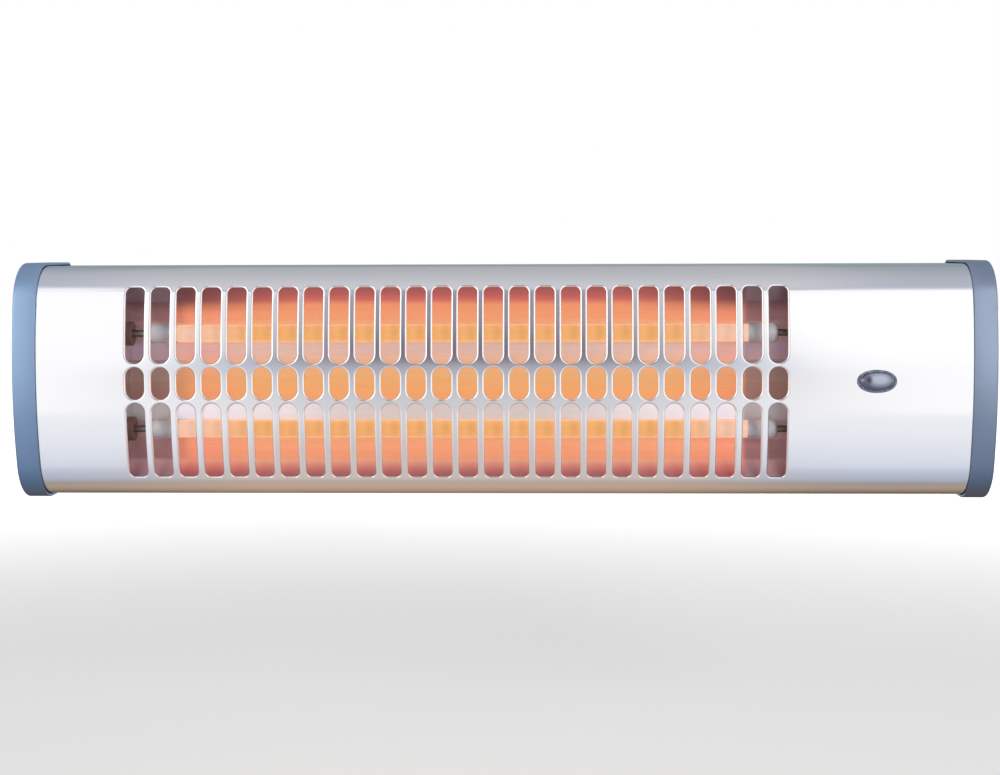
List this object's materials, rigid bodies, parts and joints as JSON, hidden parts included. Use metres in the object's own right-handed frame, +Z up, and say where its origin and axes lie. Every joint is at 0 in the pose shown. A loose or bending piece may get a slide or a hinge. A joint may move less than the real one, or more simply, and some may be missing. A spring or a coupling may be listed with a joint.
{
  "type": "electric bar heater",
  "caption": "Wall-hung electric bar heater: quartz heating tubes and a folded reflector behind a bowed, slotted steel front between end caps, tilting on a wall bracket.",
  "frame": {"origin": "middle of the wall bracket's two screw holes, on the wall", "axes": "+X along the heater, to the right as seen from the front; +Y from the heater into the wall; +Z up. The front faces -Y."},
  "size_m": [0.553, 0.1156, 0.1358],
  "materials": {
    "steel_front": "polished stainless steel",
    "cap_plastic": "satin moulded plastic, mid blue-grey",
    "zinc_steel": "zinc-plated sheet steel",
    "screw_steel": "zinc-plated fasteners",
    "reflector_aluminium": "bright rolled aluminium",
    "quartz": "clear fused quartz",
    "heating_wire": "oxidised resistance wire, glowing orange",
    "ceramic": "unglazed steatite",
    "stud_steel": "plain steel",
    "brass": "plain brass",
    "bezel_plastic": "glossy dark slate plastic",
    "lens_plastic": "faceted translucent plastic",
    "neon_glass": "small glass lamp",
    "white_plastic": "moulded insulating plastic",
    "cutout_phenolic": "moulded phenolic",
    "black_rubber": "moulded rubber",
    "white_lead": "heat-proof sleeve, off white",
    "blue_lead": "blue sleeve",
    "brown_lead": "brown sleeve",
    "earth_lead_sleeve": "green and yellow sleeve"
  },
  "bodies": {
    "bracket": {"wall_bracket": "zinc_steel", "pivot_bolts": "screw_steel", "pivot_washers": "screw_steel", "pivot_nuts": "screw_steel"},
    "heater": {"front_shell": "steel_front", "left_end_cap": "cap_plastic", "right_end_cap": "cap_plastic", "back_plate": "zinc_steel", "left_end_plate": "zinc_steel", "right_end_plate": "zinc_steel", "left_pivot_lug": "zinc_steel", "right_pivot_lug": "zinc_steel", "back_plate_screws": "screw_steel", "end_cap_screws": "screw_steel", "end_plate_screws": "screw_steel", "reflector_screws": "screw_steel", "component_screws": "screw_steel", "cutout_screws": "screw_steel", "lug_screws": "screw_steel", "reflector": "reflector_aluminium", "upper_quartz_tube": "quartz", "lower_quartz_tube": "quartz", "upper_heating_coil": "heating_wire", "lower_heating_coil": "heating_wire", "upper_left_ceramic": "ceramic", "upper_right_ceramic": "ceramic", "lower_left_ceramic": "ceramic", "lower_right_ceramic": "ceramic", "insulating_bushes": "ceramic", "terminal_studs": "stud_steel", "terminal_nuts": "brass", "ring_terminals": "brass", "terminal_block_screws": "brass", "earth_terminal": "brass", "pilot_bezel": "bezel_plastic", "pilot_clip": "bezel_plastic", "pilot_lens": "lens_plastic", "pilot_neon": "neon_glass", "pull_switch_body": "white_plastic", "pull_cord_bush": "white_plastic", "terminal_block": "white_plastic", "thermal_cutout": "cutout_phenolic", "cable_grommet": "black_rubber", "wire_grommets": "black_rubber", "left_link_lead": "white_lead", "upper_live_lead": "white_lead", "lower_live_lead": "white_lead", "lamp_leads": "white_lead", "neutral_lead": "blue_lead", "cutout_lead": "brown_lead", "supply_lead": "brown_lead", "earth_lead": "earth_lead_sleeve"},
    "pull_rod": {"pull_rod": "white_plastic"}
  },
  "joints": [
    {"name": "tilt", "type": "hinge", "parent": "bracket", "child": "heater", "pos_m": [0, -0.022, 0], "axis": [1, 0, 0], "range_deg": [-10, 25]},
    {"name": "pull", "type": "slide", "parent": "heater", "child": "pull_rod", "axis": [0, 0, -1], "range_m": [0, 0.006], "stiffness_N_per_m": 500}
  ]
}
